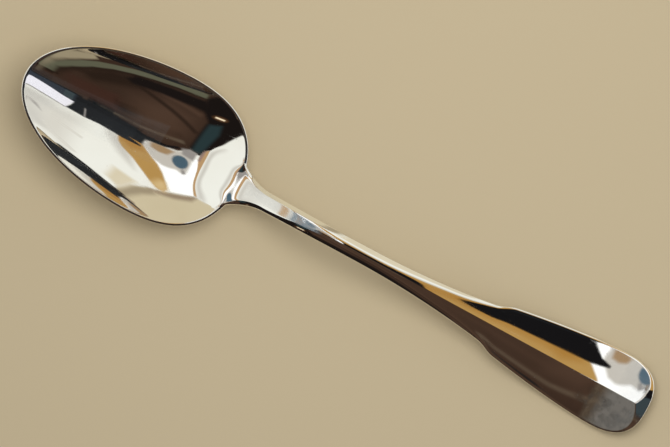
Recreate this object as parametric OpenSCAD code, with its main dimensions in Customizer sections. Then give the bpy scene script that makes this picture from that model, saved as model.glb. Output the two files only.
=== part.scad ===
// Tablespoon of the French fiddle pattern, lying on a table.
// Lengthwise stations s run from the bowl tip (s = 0) to the handle tip (s = overall_length).
// The spoon is a plate of graded thickness that follows one side profile, the spine.
// The hollow is pressed into the plate, and the front of the handle is shaped down from the spine.

/* [Overall] */
// Length from bowl tip to handle tip
overall_length = 205; // [196:1:220]

/* [Bowl] */
// Length of the egg-shaped bowl
bowl_length = 70; // [64:0.5:76]
// Greatest width of the bowl over the rim
bowl_width = 43.7; // [38:0.1:48]
// Distance from the bowl tip to the widest line
bowl_widest_at = 43.5; // [38:0.5:46]
// Depth of the hollow below the rim, at the widest line
bowl_depth = 10.2; // [8:0.1:12]
// Growth of the hollow's cross-section radius from tip to heel, as a share of that at the widest line
hollow_spread = 0.5; // [0.3:0.05:0.55]
// Plan radius of the bowl tip
tip_radius = 10.7; // [8:0.1:13]
// Plan radius of the bowl heel
heel_radius = 25; // [19:0.5:30]
// Width of the flat land along the rim
rim_land = 0.8; // [0.5:0.05:1.2]
// Thickness of the rim
rim_thickness = 1.2; // [0.8:0.05:1.6]
// Thickness of the bowl at the middle of its widest line
floor_thickness = 1.5; // [1.1:0.05:2.2]
// Length of the drop, the stem's root fading out under the bowl
drop_length = 17; // [10:0.5:24]

/* [Stem] */
// Width of the stem at its narrowest
stem_width = 4.4; // [3.6:0.1:6]
// Distance from the bowl tip to the narrowest place
stem_narrow_at = 110; // [100:1:120]
// Width of the stem where it reaches the bowl, without the flare
root_width = 6; // [5:0.1:8]
// Extra half width of the flare where it meets the bowl
flare = 2.9; // [2:0.1:4]
// Length of the flare
flare_length = 9.2; // [8:0.1:12]
// Thickness of the neck
neck_thickness = 4.4; // [3.6:0.1:5.2]
// Thickness of the stem at the top of its arch
stem_thickness = 3.4; // [2.8:0.1:4.2]
// Width of the bevel along the neck
neck_bevel = 1.1; // [0.8:0.05:1.4]
// Fall of that bevel
neck_bevel_fall = 0.75; // [0.4:0.05:1]
// Fall of the stem's rounded front from its middle to its edge
crown_fall = 0.45; // [0.2:0.05:0.7]

/* [Fiddle end] */
// Greatest width of the fiddle
fiddle_width = 23.6; // [20:0.1:26]
// Width of the fiddle just past its shoulders
shoulder_width = 14.9; // [13:0.1:17]
// Width of the stem where it runs into the shoulders
stem_end_width = 10.7; // [9:0.1:12]
// Distance from the handle tip back to the shoulders
shoulder_from_tip = 50; // [46:0.5:54]
// Length over which each shoulder steps out
shoulder_length = 7.4; // [6:0.1:10]
// Length of the rounded end, from the widest line to the tip
end_length = 13.6; // [11:0.1:16]
// Fullness of the rounded end, where 2 is an ellipse
end_fullness = 2.7; // [2.2:0.05:3.2]
// Slope of the front beside the ridge
ridge_slope = 0.22; // [0.16:0.01:0.28]
// Distance from the handle tip back to the start of the ridge
ridge_from_tip = 79; // [66:1:86]
// Width of the bevel round the fiddle
edge_bevel = 0.85; // [0.6:0.05:1.2]
// Slope of that bevel, which also sets the length of the hip at the tip
edge_bevel_slope = 0.39; // [0.3:0.01:0.5]
// Thickness of the fiddle under the ridge
end_thickness = 3.2; // [3:0.05:3.8]

/* [Side profile] */
// Tilt of the rim, tip up, in degrees
rim_tilt = 9; // [6:0.5:11]
// Rise from the heel to where the stem has its full slope
neck_rise = 0.6; // [0.4:0.1:0.9]
// Full slope of the stem past the neck, in degrees
neck_angle = 20; // [16:0.5:22]
// Height of the top of the arch over the table
arch_height = 16; // [15:0.1:17]
// Distance from the bowl tip to the top of the arch
arch_at = 99; // [96:1:103]
// Distance from the top of the arch to where the handle has become straight
arch_run = 17; // [14:0.5:20]
// Length of the bend between the straight handle and the table
bend_length = 18; // [14:0.5:22]
// Distance from the handle tip back to where the handle touches the table
rest_from_tip = 18; // [15:0.5:22]
// Slope of the handle tip, in degrees
tip_upturn = 18.5; // [14:0.5:21]
// Depth of the flats worn where the spoon rests on the table
wear = 0.12; // [0.08:0.01:0.2]

/* [Hidden] */

// Length of the stem's root that is counted with the bowl
root_length = 6;
// Small break along every outer edge
edge_break = 0.2;
// Softness of the rim's inner edge
crisp = 0.1;
// Softness of the edge where the bowl's back meets the rim
back_soft = 0.3;
// Softness of the bevel's inner edge at the neck and round the fiddle
neck_bevel_soft = 0.3;
edge_bevel_soft = 0.05;
// Softness of the roll from the stem into the hollow
neck_roll = 0.8;
// Depth taken off the hollow under the roll
neck_recess = 1;
// Distances before the heel at which the roll begins and is full
roll_start = 12;
roll_full = 2;
// Half widths at which the roll begins to fade and is gone
roll_inner = 2;
roll_outer = 9;
// Softness of the corner where the flare meets the bowl's outline
corner_soft = 0.5;
// Least half width of the two tips
tip_flat = 0.5;
// Fullness of the curve along the fiddle's sides
side_power = 1.5;
// Reach of the rounded underside past the edges, as a share of the half width
belly_reach = 1.6;
// The same at the fiddle, whose back is nearly flat
back_reach = 4;
// Distance past the shoulders at which the back has become nearly flat
back_flat_past = 20;
// Fullness of the rounded underside
belly_power = 1.5;
// Distance past the heel at which the drop has its full thickness
drop_full = 2;
// Distances past the neck plane at which the stem's front begins to round and is fully rounded
crown_start = 4;
crown_full = 30;
// Distances before and after the start of the ridge over which it rises
ridge_lead = 12;
ridge_run = 18;
// Distances before and after the heel over which the neck's bevel opens
bevel_lead = 5;
bevel_run = 4;
// Distance past the neck plane at which the bevel begins to narrow
bevel_narrows = 8;
// Distance before the heel at which the spine leaves the line of the rim
heel_back = 4;
// Distance past the bowl at which the stem has its full slope
rise_run = 3;
// Drop of the bend, as a share of a straight run of the same length
bend_share = 0.6;
// Drop of the arch on its way to the straight handle, as a share of the same
arch_share = 2 / 3;
// Length over which the slope of the outline is taken
slope_step = 0.2;
// Least share of the egg's mean term, which keeps the outline open near its ends
egg_least = 0.25;

neck_at = bowl_length + root_length;
drop_end = bowl_length - drop_length;
end_at = overall_length - end_length;
shoulder_at = overall_length - shoulder_from_tip;
shoulder_start = shoulder_at - shoulder_length / 2;
shoulder_end = shoulder_at + shoulder_length / 2;
ridge_at = overall_length - ridge_from_tip;
rest_at = overall_length - rest_from_tip;
heel_at = bowl_length - heel_back;
rise_at = bowl_length + rise_run;
straight_at = arch_at + arch_run;
bend_at = rest_at - bend_length;
end_level = end_thickness - wear;
upturn = tan(tip_upturn);
rim_slope = -tan(rim_tilt);
handle_slope = (end_level - arch_height)
    / (arch_share * arch_run + bend_at - straight_at + bend_share * bend_length);

// Lateral lines across the plate, close together towards the edges
LINES = 8;
function line(k) = sin(90 * k / LINES);

function clamp01(t) = min(1, max(0, t));
function mix(a, b, t) = a + (b - a) * t;
function soft_positive(q, k) = (q + sqrt(q * q + k * k)) / 2;
function soft_min(a, b, k) = (a + b - sqrt((a - b) * (a - b) + k * k)) / 2;
function soft_max(a, b, k) = (a + b + sqrt((a - b) * (a - b) + k * k)) / 2;

// Smooth step from 0 at a to 1 at b, with no break in curvature
function ease(a, b, x) =
    let (t = clamp01((x - a) / (b - a)))
    t * t * t * (t * (6 * t - 15) + 10);

// Curve between two spine stations that keeps both slopes and curvatures
function reach(p, q, x) =
    let (
        h = q[0] - p[0],
        t = (x - p[0]) / h,
        d = p[2] * h,
        e = p[3] * h * h / 2,
        r = q[1] - p[1] - d - e,
        u = q[2] * h - d - 2 * e,
        v = q[3] * h * h - 2 * e
    )
    p[1] + t * (d + t * (e + t * ((10 * r - 4 * u + v / 2)
        + t * ((7 * u - 15 * r - v) + t * (6 * r - 3 * u + v / 2)))));

// Height of the middle of the front at station s
function spine(s, i = 0) =
    i >= len(SPINE) - 2 || s <= SPINE[i + 1][0]
        ? reach(SPINE[i], SPINE[i + 1], s)
        : spine(s, i + 1);

// Egg outline set in from the bowl's edge: half length and the terms of its squared half width
function egg(inset) =
    let (
        a = bowl_length / 2 - inset,
        b = bowl_width / 2 - inset,
        t = (bowl_widest_at - bowl_length / 2) / a,
        g = 1 - t * t,
        mean = a * (heel_radius + tip_radius - 2 * inset) / 2,
        tilt = a * (heel_radius - tip_radius) / 2,
        m = (b * b / g - mean - tilt * t) / g,
        beta = (2 * t * b * b / (g * g) - tilt + 2 * t * m) / g
    )
    [a, mean, tilt, m - beta * t, beta];

RIM = egg(rim_land);
EDGE = egg(0);

// Squared half width of an egg at station s, negative past its ends
function egg_square(e, s) =
    let (t = (s - bowl_length / 2) / e[0])
    (1 - t * t) * max(e[1] * egg_least, e[1] + e[2] * t + (1 - t * t) * (e[3] + e[4] * t));

// Station on an egg at an angle round from its tip
function egg_station(e, angle) = bowl_length / 2 - e[0] * cos(angle);
function egg_half(e, s) = sqrt(max(0, egg_square(e, s)));

// Half width of the stem and fiddle, with straight-on sides past the widest line
function stem_half(s) =
    let (
        in = max(0, stem_narrow_at - max(s, bowl_length)) / (stem_narrow_at - bowl_length),
        out = max(0, s - stem_narrow_at) / (shoulder_at - stem_narrow_at),
        f = max(0, 1 - max(-bevel_lead, s - bowl_length) / flare_length)
    )
    stem_width / 2 + (root_width - stem_width) / 2 * in * in
        + (stem_end_width - stem_width) / 2 * out * out + flare * f * f;

function fiddle_half(s) =
    fiddle_width / 2 - (fiddle_width - shoulder_width) / 2
        * pow(max(0, end_at - s) / (end_at - shoulder_at), side_power);

function open_half(s) =
    s >= end_at ? fiddle_width / 2
        : mix(stem_half(s), fiddle_half(s), ease(shoulder_start, shoulder_end, s));

// Half width of the whole outline
function half_width(s) =
    s < bowl_widest_at ? egg_half(EDGE, s)
        : s < neck_at ? soft_max(egg_half(EDGE, s), stem_half(s), corner_soft)
        : s < end_at ? open_half(s)
        : max(tip_flat, fiddle_width / 2
            * pow(1 - pow(clamp01((s - end_at) / end_length), end_fullness), 1 / end_fullness));

// Distance in from the outline of the stem and fiddle
function edge_gap(s, y) =
    s < end_at
        ? let (slope = (open_half(s + slope_step / 2) - open_half(s - slope_step / 2)) / slope_step)
            max(0, open_half(s) - abs(y)) / sqrt(1 + slope * slope)
        : let (
            n = end_fullness,
            u = (s - end_at) / end_length,
            v = 2 * abs(y) / fiddle_width,
            g = pow(pow(u, n) + pow(v, n), 1 / n),
            du = pow(u, n - 1) / end_length,
            dv = 2 * pow(v, n - 1) / fiddle_width
        )
            g < crisp ? fiddle_width / 2 : max(0, 1 - g) * pow(g, n - 1) / norm([du, dv]);

// Depth of a dish with round cross-sections that widen towards the heel, negative outside its outline
function dish(e, radius, s, y) =
    let (
        q = egg_square(e, s),
        r = radius * (1 + hollow_spread * (s - bowl_widest_at) / bowl_length)
    )
    (q - y * y) / (sqrt(r * r - y * y) + sqrt(r * r - q));

function arc_radius(half, depth) = (half * half + depth * depth) / (2 * depth);

// Cross-section radii of the hollow and of the bowl's back, at the widest line
HOLLOW_RADIUS = arc_radius(bowl_width / 2 - rim_land, bowl_depth);
BACK_RADIUS = arc_radius(bowl_width / 2, bowl_depth + floor_thickness - rim_thickness);

// Share of the roll over the hollow's edge: full at the neck, none along the rim
function rolled(s, y) =
    ease(bowl_length - roll_start, bowl_length - roll_full, s) * (1 - ease(roll_inner, roll_outer, abs(y)));

// Front of the handle before its bevel: flat at the neck, then rounded, then ridged
function roof_fall(s, y) =
    let (
        w = open_half(s),
        ridged = ease(ridge_at - ridge_lead, ridge_at + ridge_run, s),
        rounded = ease(neck_at + crown_start, neck_at + crown_full, s) * (1 - ridged)
    )
    rounded * crown_fall * y * y / (w * w)
        + ridged * ridge_slope * (abs(y) - y * y / (2 * w));

// Fall, slope and softness of the bevel: broad and soft at the neck, narrow and crisp round the fiddle
function bevel(s) =
    let (
        t = ease(neck_at + bevel_narrows, ridge_at, s),
        open = ease(bowl_length - bevel_lead, bowl_length + bevel_run, s),
        fall = mix(neck_bevel_fall, edge_bevel * edge_bevel_slope, t)
    )
    [
        open * fall,
        mix(neck_bevel_fall / neck_bevel, edge_bevel_slope, t),
        open * mix(neck_bevel_soft, edge_bevel_soft, t)
    ];

function front_fall(s, y) =
    s < bowl_length - bevel_lead ? 0
        : let (
            b = bevel(s),
            roof = -roof_fall(s, y),
            slant = -roof_fall(s, open_half(s)) - b[0] + b[1] * edge_gap(s, y)
        )
            -soft_min(roof, slant, b[2]);

// Depth of the bowl's back below the line of the rim, at its middle
function belly_depth(s) =
    plate(s, 0) + soft_positive(dish(EDGE, BACK_RADIUS, s, 0), back_soft) - rim_slope * (s - bowl_widest_at);

// Level of the rim at the widest line, at which the lowest point of the bowl settles on the table
LEVEL_STEP = 0.25;
rim_level = max([for (s = [0:LEVEL_STEP:heel_at]) belly_depth(s)]) - wear;
heel_level = rim_level + rim_slope * (heel_at - bowl_widest_at);

// Spine stations: distance, height, slope, curvature
SPINE = [
    [0, rim_level - rim_slope * bowl_widest_at, rim_slope, 0],
    [heel_at, heel_level, rim_slope, 0],
    [rise_at, heel_level + neck_rise, tan(neck_angle), 0],
    [arch_at, arch_height, 0, 2 * handle_slope / arch_run],
    [straight_at, arch_height + arch_share * handle_slope * arch_run, handle_slope, 0],
    [bend_at, end_level - bend_share * handle_slope * bend_length, handle_slope, 0],
    [rest_at, end_level, 0, upturn / rest_from_tip],
    [overall_length, end_level + upturn * rest_from_tip / 2, upturn, upturn / rest_from_tip]
];

// Height of the front surface
function front(s, y) =
    let (
        roll = rolled(s, y),
        sunk = dish(RIM, HOLLOW_RADIUS, s, y) - neck_recess * roll
    )
    spine(s) - front_fall(s, y) - soft_positive(sunk, mix(crisp, neck_roll, roll));

// Thickness of the plate below the spine: the stem's core, with a rounded belly, fading under the bowl
function plate(s, y) =
    let (
        core = mix(mix(neck_thickness, stem_thickness, ease(neck_at, arch_at, s)), end_thickness,
            ease(arch_at, shoulder_at, s)),
        flat = ease(ridge_at, shoulder_at + back_flat_past, s),
        u = y / (open_half(max(s, bowl_length)) * mix(belly_reach, back_reach, flat)),
        belly = pow(max(0, 1 - u * u), belly_power),
        grown = ease(drop_end, bowl_length + drop_full, s)
    )
    rim_thickness + (core - rim_thickness) * belly * grown;

// Height of the back surface, flat where the spoon rests
function back(s, y) =
    max(0, spine(s) - plate(s, y) - soft_positive(dish(EDGE, BACK_RADIUS, s, y), back_soft));

// Outline points of the bowl, from the neck on the +Y side round the tip to the neck on the -Y side
EGG_STEPS = 36;
FLARE_STEPS = 5;
function side_station(i) =
    i < FLARE_STEPS ? mix(neck_at, bowl_length, i / FLARE_STEPS)
        : egg_station(EDGE, 180 * (1 - (i - FLARE_STEPS + 0.5) / (EGG_STEPS + 0.5)));

SIDE_STEPS = FLARE_STEPS + EGG_STEPS;
function side_point(i) =
    let (s = side_station(i))
    [s, i == SIDE_STEPS ? 0 : half_width(s)];

// The same point moved inwards square to the outline
function side_inset(i, d) =
    let (
        p = side_point(i),
        a = side_point(max(0, i - 1)),
        b = i == SIDE_STEPS ? [a[0], -a[1]] : side_point(i + 1),
        t = (b - a) / norm(b - a)
    )
    p + d * [-t[1], t[0]];

// Angle on the rim that belongs to a ray: even round the egg up to a turn, then shared out across the neck
RIM_TURN = 160;
NECK_RAYS = FLARE_STEPS + LINES + round((180 - RIM_TURN) * EGG_STEPS / 180);
function rim_angle(ray) =
    ray < NECK_RAYS ? mix(180, RIM_TURN, ray / NECK_RAYS)
        : mix(RIM_TURN, 0, (ray - NECK_RAYS) / (SIDE_STEPS + LINES - NECK_RAYS));
function rim_point(ray) =
    let (s = egg_station(RIM, rim_angle(ray)))
    [s, egg_half(RIM, s)];

function flip(p) = [p[0], -p[1]];

// Rays of the bowl: rim point, inset outline point, outline point, edge break
function chord_ray(k) =
    let (y = line(k) * (half_width(neck_at) - edge_break))
    [rim_point(k), [neck_at - edge_break, y], [neck_at, y], 0];
function side_ray(i) = [rim_point(LINES + i), side_inset(i, edge_break), side_point(i), edge_break];
function flip_ray(r) = [flip(r[0]), flip(r[1]), flip(r[2]), r[3]];

RAYS = concat(
    [for (k = [0:LINES]) chord_ray(k)],
    [for (i = [0:SIDE_STEPS]) side_ray(i)],
    [for (i = [SIDE_STEPS - 1:-1:0]) flip_ray(side_ray(i))],
    [for (k = [LINES:-1:1]) flip_ray(chord_ray(k))]
);

// Rings of the bowl: hollow, land, edge, then the back
HOLLOW_RINGS = 10;
LAND_RINGS = 3;
BACK_RINGS = 11;
POLE_SETBACK = 2;
CENTRE = [bowl_widest_at - POLE_SETBACK, 0];

function on_front(p) = [p[0], p[1], front(p[0], p[1])];
function on_back(p) = [p[0], p[1], back(p[0], p[1])];
function bowl_ring(j) =
    j < HOLLOW_RINGS ? [for (r = RAYS) on_front(mix(CENTRE, r[0], (j + 1) / HOLLOW_RINGS))]
        : j < HOLLOW_RINGS + LAND_RINGS
            ? [for (r = RAYS) on_front(mix(r[0], r[1], (j - HOLLOW_RINGS + 1) / LAND_RINGS))]
        : j == HOLLOW_RINGS + LAND_RINGS ? [for (r = RAYS) on_front(r[2]) - [0, 0, r[3]]]
        : j == HOLLOW_RINGS + LAND_RINGS + 1 ? [for (r = RAYS) on_back(r[2]) + [0, 0, r[3]]]
        : let (k = j - HOLLOW_RINGS - LAND_RINGS - 2)
            [for (r = RAYS) on_back(mix(r[1], CENTRE, k / BACK_RINGS))];
BOWL_RINGS = HOLLOW_RINGS + LAND_RINGS + 2 + BACK_RINGS;

// Stations of the handle, closer together at the shoulders and towards the tip
FLARE_RUN = 6;
STEM_RUN = 22;
SHOULDER_RUN = 10;
SIDE_RUN = 13;
END_RUN = 16;
function span(a, b, n) = [for (i = [0:n - 1]) mix(a, b, i / n)];
STATIONS = concat(
    span(neck_at, neck_at + flare_length, FLARE_RUN),
    span(neck_at + flare_length, shoulder_start, STEM_RUN),
    span(shoulder_start, shoulder_end, SHOULDER_RUN),
    span(shoulder_end, end_at, SIDE_RUN),
    [for (i = [0:END_RUN]) end_at + end_length * sin(90 * i / END_RUN)]
);

// One closed ring round the handle: front from -Y to +Y, edge, back, edge
function handle_ring(s) =
    let (w = half_width(s), inner = max(w - edge_break, w / 2))
    concat(
        [for (k = [-LINES:LINES]) on_front([s, inner * line(k)])],
        [on_front([s, w]) - [0, 0, edge_break], on_back([s, w]) + [0, 0, edge_break]],
        [for (k = [LINES:-1:-LINES]) on_back([s, inner * line(k)])],
        [on_back([s, -w]) + [0, 0, edge_break], on_front([s, -w]) - [0, 0, edge_break]]
    );

// Triangles of the band between ring i and ring i + 1 of n points each
function band(i, n) = [
    for (k = [0:n - 1])
        let (a = i * n + k, b = i * n + (k + 1) % n)
        each [[a, b, b + n], [a, b + n, a + n]]
];

// Triangles from a ring's points to one point
function fan(first, n, apex) = [for (k = [0:n - 1]) [first + k, apex, first + (k + 1) % n]];

// Triangles that close a handle ring, in strips from front to back
function cap(first, n) = [
    for (c = [0:n / 2 - 2])
        let (a = first + (c + n - 1) % n, b = first + c, d = first + n - 2 - c)
        each [[a, b, d], [b, d - 1, d]]
];
function turned(faces) = [for (f = faces) [f[0], f[2], f[1]]];

module placed() {
    translate([-overall_length / 2, 0, 0]) children();
}

module bowl() {
    n = len(RAYS);
    rings = [for (j = [0:BOWL_RINGS - 1]) each bowl_ring(j)];
    points = concat(rings, [on_front(CENTRE), on_back(CENTRE)]);
    top = len(rings);
    faces = concat(
        fan(0, n, top),
        [for (j = [0:BOWL_RINGS - 2]) each band(j, n)],
        turned(fan((BOWL_RINGS - 1) * n, n, top + 1))
    );
    color([0.86, 0.84, 0.80])
        placed()
            polyhedron(points = points, faces = faces, convexity = 4);
}

module handle() {
    n = 4 * LINES + 6;
    last = len(STATIONS) - 1;
    points = [for (s = STATIONS) each handle_ring(s)];
    faces = concat(
        turned(cap(0, n)),
        [for (j = [0:last - 1]) each band(j, n)],
        cap(last * n, n)
    );
    color([0.82, 0.80, 0.77])
        placed()
            polyhedron(points = points, faces = faces, convexity = 4);
}

bowl();
handle();
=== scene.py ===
"""A polished tablespoon of the fiddle pattern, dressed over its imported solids.

The bowl and the handle start as flat blanks, laid out in plan. One node tree presses both of them: it sinks
the hollow, rolls the neck over, raises the ridge, cuts the bevel and rounds every edge. Sizes are in
millimetres up to the mesh, which is in metres.
"""
import logging
import math
from dataclasses import dataclass, field
from enum import Enum

import bmesh
import bpy
import numpy as np
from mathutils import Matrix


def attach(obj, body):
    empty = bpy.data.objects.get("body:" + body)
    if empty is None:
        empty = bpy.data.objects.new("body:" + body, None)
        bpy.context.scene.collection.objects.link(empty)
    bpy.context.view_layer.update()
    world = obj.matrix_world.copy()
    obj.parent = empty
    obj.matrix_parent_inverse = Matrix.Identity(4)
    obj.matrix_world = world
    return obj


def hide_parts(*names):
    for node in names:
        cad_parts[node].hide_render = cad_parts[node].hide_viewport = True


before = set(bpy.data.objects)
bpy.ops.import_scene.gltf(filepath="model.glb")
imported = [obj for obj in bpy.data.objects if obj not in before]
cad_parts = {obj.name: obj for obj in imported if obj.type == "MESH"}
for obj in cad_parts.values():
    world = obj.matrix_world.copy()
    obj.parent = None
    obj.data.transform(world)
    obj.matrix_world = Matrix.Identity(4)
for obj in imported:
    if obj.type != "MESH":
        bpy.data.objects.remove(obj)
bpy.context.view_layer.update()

MM = 0.001
TINY = 1e-6
MIRROR = np.array([1.0, -1.0])
log = logging.getLogger("tablespoon")

Values = np.ndarray | float
Colour = tuple[float, float, float, float]
Rgb = tuple[int, int, int]
Triple = tuple[float, float, float]
Socket = bpy.types.NodeSocket
Tree = bpy.types.NodeTree


def mix(a: Values, b: Values, t: Values) -> Values:
    """Go from a to b by the share t."""
    return a + (b - a) * t


def ease(start: float, end: float, x: Values) -> Values:
    """Step smoothly from 0 at start to 1 at end, with no break in curvature."""
    t = np.clip((x - start) / (end - start), 0.0, 1.0)
    return t * t * t * (t * (6.0 * t - 15.0) + 10.0)


def linear(rgb: Rgb) -> Colour:
    """Turn a colour as a screen shows it into the renderer's linear colour."""
    parts = [c / 255.0 for c in rgb]
    return (*(c / 12.92 if c <= 0.04045 else ((c + 0.055) / 1.055) ** 2.4 for c in parts), 1.0)


def wire(tree: Tree, kind: str, inputs: dict[str | int, object] | None = None,
         **settings: object) -> bpy.types.Node:
    """Add a node to a tree.

    Args:
        tree: Tree that the node goes into.
        kind: Type of the node.
        inputs: For each input, by name or place, its value or the socket that it is linked from.
        settings: Properties of the node.

    Returns:
        The node.
    """
    node = tree.nodes.new(kind)
    for name, value in settings.items():
        setattr(node, name, value)
    for name, value in (inputs or {}).items():
        source = value.socket if isinstance(value, Field) else value
        if isinstance(source, Socket):
            tree.links.new(source, node.inputs[name])
        else:
            node.inputs[name].default_value = source
    return node


@dataclass(frozen=True)
class Field:
    """A value in a node tree that takes plain arithmetic."""

    tree: Tree
    socket: Socket

    def join(self, operation: str, *values: "Field | float") -> "Field":
        """Join values, in order, in a Math node of that operation."""
        node = wire(self.tree, "ShaderNodeMath", dict(enumerate(values)), operation=operation)
        return Field(self.tree, node.outputs[0])

    def __add__(self, other: "Field | float") -> "Field":
        """Add."""
        return self.join("ADD", self, other)

    def __sub__(self, other: "Field | float") -> "Field":
        """Take away."""
        return self.join("SUBTRACT", self, other)

    def __rsub__(self, other: float) -> "Field":
        """Take this away from a number."""
        return self.join("SUBTRACT", other, self)

    def __mul__(self, other: "Field | float") -> "Field":
        """Multiply."""
        return self.join("MULTIPLY", self, other)

    def __truediv__(self, other: "Field | float") -> "Field":
        """Divide."""
        return self.join("DIVIDE", self, other)

    def root(self) -> "Field":
        """Square root."""
        return self.join("SQRT", self)

    def most(self, other: "Field | float") -> "Field":
        """Greater of two."""
        return self.join("MAXIMUM", self, other)

    def least(self, other: "Field | float") -> "Field":
        """Lesser of two."""
        return self.join("MINIMUM", self, other)

    def raised(self, power: float) -> "Field":
        """Power."""
        return self.join("POWER", self, power)

    def eased(self) -> "Field":
        """Smooth step over the part from 0 to 1."""
        t = self.most(0.0).least(1.0)
        return t * t * t * (t * (t * 6.0 - 15.0) + 10.0)

    def soft_positive(self, softness: "Field | float") -> "Field":
        """Part above zero, with a rounded corner."""
        return (self + (self * self + softness * softness).root()) * 0.5

    def share(self, low: float, high: float, start: float = 0.0, end: float = 1.0) -> "Field":
        """Turn the value into a share.

        Args:
            low: Value at which the share is at its start.
            high: Value at which the share is at its end.
            start: Share at low.
            end: Share at high.

        Returns:
            The share, held between its ends.
        """
        ends = {"From Min": low, "From Max": high, "To Min": start, "To Max": end}
        node = wire(self.tree, "ShaderNodeMapRange", {**ends, "Value": self})
        return Field(self.tree, node.outputs["Result"])


@dataclass(frozen=True)
class Egg:
    """Terms of an egg outline's squared half width."""

    half_length: float
    mean: float
    tilt: float
    fullness: float
    fullness_tilt: float


@dataclass
class SpoonForm:
    """Sizes of the spoon in millimetres, with the curves that follow from them.

    Stations run from the bowl tip, at 0, to the handle tip, at overall_length.
    """

    overall_length: float = 205.0
    # Bowl
    bowl_length: float = 70.0
    bowl_width: float = 43.69
    bowl_widest_at: float = 43.5
    bowl_depth: float = 10.2
    hollow_spread: float = 0.5
    tip_radius: float = 10.7
    heel_radius: float = 25.0
    least_fullness: float = 0.25
    rim_land: float = 0.8
    rim_soft: float = 0.1
    rim_thickness: float = 1.2
    floor_thickness: float = 1.5
    drop_length: float = 17.0
    drop_full: float = 2.0
    back_soft: float = 0.3
    # Neck, with the roll over the hollow's edge
    root_width: float = 6.4
    root_length: float = 6.0
    flare: float = 2.75
    flare_length: float = 9.2
    corner_soft: float = 0.5
    neck_thickness: float = 4.4
    neck_roll: float = 1.62
    neck_recess: float = 1.15
    roll_start: float = 13.2
    roll_full: float = 2.0
    roll_inner: float = 2.0
    roll_outer: float = 9.0
    # Stem, with its crown and bevels
    stem_width: float = 5.6
    stem_narrow_at: float = 110.0
    stem_end_width: float = 12.6
    stem_thickness: float = 3.4
    neck_bevel: float = 1.3
    neck_bevel_fall: float = 0.85
    neck_bevel_soft: float = 0.3
    bevel_lead: float = 5.0
    bevel_run: float = 4.0
    bevel_narrows: float = 20.0
    crown_fall: float = 0.42
    crown_start: float = 4.0
    crown_full: float = 30.0
    belly_reach: float = 1.6
    # Fiddle, with its ridge and bevel
    fiddle_width: float = 23.6
    shoulder_width: float = 14.9
    shoulder_from_tip: float = 50.0
    shoulder_length: float = 7.4
    side_power: float = 1.5
    end_length: float = 13.6
    end_fullness: float = 2.7
    end_thickness: float = 3.2
    ridge_slope: float = 0.22
    ridge_from_tip: float = 79.0
    ridge_lead: float = 12.0
    ridge_run: float = 18.0
    edge_bevel: float = 0.55
    edge_bevel_slope: float = 0.39
    edge_bevel_soft: float = 0.05
    back_reach: float = 4.0
    back_flat_past: float = 20.0
    # Profile
    rim_tilt: float = 9.0
    heel_back: float = 3.75
    neck_rise: float = 0.6
    neck_angle: float = 20.4
    rise_run: float = 2.9
    arch_height: float = 16.0
    arch_at: float = 99.0
    arch_run: float = 17.0
    arch_share: float = 2.0 / 3.0
    bend_length: float = 18.0
    bend_share: float = 0.6
    rest_from_tip: float = 18.0
    tip_upturn: float = 18.5
    wear: float = 0.12
    # Rounded edges
    rim_round: float = 0.4
    edge_round: float = 0.3
    round_fade: float = 4.0
    # Steps for working out
    settle_step: float = 0.25
    slope_step: float = 0.1
    end_middle: float = 0.1
    # What follows from the sizes
    neck_at: float = field(init=False)
    end_at: float = field(init=False)
    shoulder_at: float = field(init=False)
    shoulder_start: float = field(init=False)
    shoulder_end: float = field(init=False)
    ridge_at: float = field(init=False)
    rim: Egg = field(init=False)
    edge: Egg = field(init=False)
    hollow_radius: float = field(init=False)
    back_radius: float = field(init=False)
    stations: list[tuple[float, float, float, float]] = field(init=False)

    def __post_init__(self) -> None:
        """Work out the places and curves that follow from the sizes."""
        self.neck_at = self.bowl_length + self.root_length
        self.end_at = self.overall_length - self.end_length
        self.shoulder_at = self.overall_length - self.shoulder_from_tip
        self.shoulder_start = self.shoulder_at - self.shoulder_length / 2
        self.shoulder_end = self.shoulder_at + self.shoulder_length / 2
        self.ridge_at = self.overall_length - self.ridge_from_tip
        self.rim = self.egg(self.rim_land)
        self.edge = self.egg(0.0)
        self.hollow_radius = self.arc_radius(self.bowl_width / 2 - self.rim_land, self.bowl_depth)
        self.back_radius = self.arc_radius(
            self.bowl_width / 2, self.bowl_depth + self.floor_thickness - self.rim_thickness)
        self.set_spine()

    @staticmethod
    def arc_radius(half: float, depth: float) -> float:
        """Radius of an arc of that half width and depth."""
        return (half * half + depth * depth) / (2 * depth)

    def egg(self, inset: float) -> Egg:
        """Fit the egg outline set in from the bowl's edge.

        Args:
            inset: Distance in from the edge.

        Returns:
            Terms of the egg.
        """
        a = self.bowl_length / 2 - inset
        b = self.bowl_width / 2 - inset
        t = (self.bowl_widest_at - self.bowl_length / 2) / a
        g = 1 - t * t
        mean = a * (self.heel_radius + self.tip_radius - 2 * inset) / 2
        tilt = a * (self.heel_radius - self.tip_radius) / 2
        m = (b * b / g - mean - tilt * t) / g
        beta = (2 * t * b * b / (g * g) - tilt + 2 * t * m) / g
        return Egg(a, mean, tilt, m - beta * t, beta)

    def egg_square(self, egg: Egg, s: np.ndarray) -> np.ndarray:
        """Find the squared half width of an egg.

        Args:
            egg: Terms of the egg.
            s: Stations.

        Returns:
            Squared half widths, negative past the egg's ends.
        """
        t = (s - self.bowl_length / 2) / egg.half_length
        body = egg.mean + egg.tilt * t + (1 - t * t) * (egg.fullness + egg.fullness_tilt * t)
        return (1 - t * t) * np.maximum(egg.mean * self.least_fullness, body)

    def spread(self, s: np.ndarray) -> np.ndarray:
        """Radius of the hollow's cross-section, as a share of that at the widest line."""
        return 1 + self.hollow_spread * (s - self.bowl_widest_at) / self.bowl_length

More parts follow.
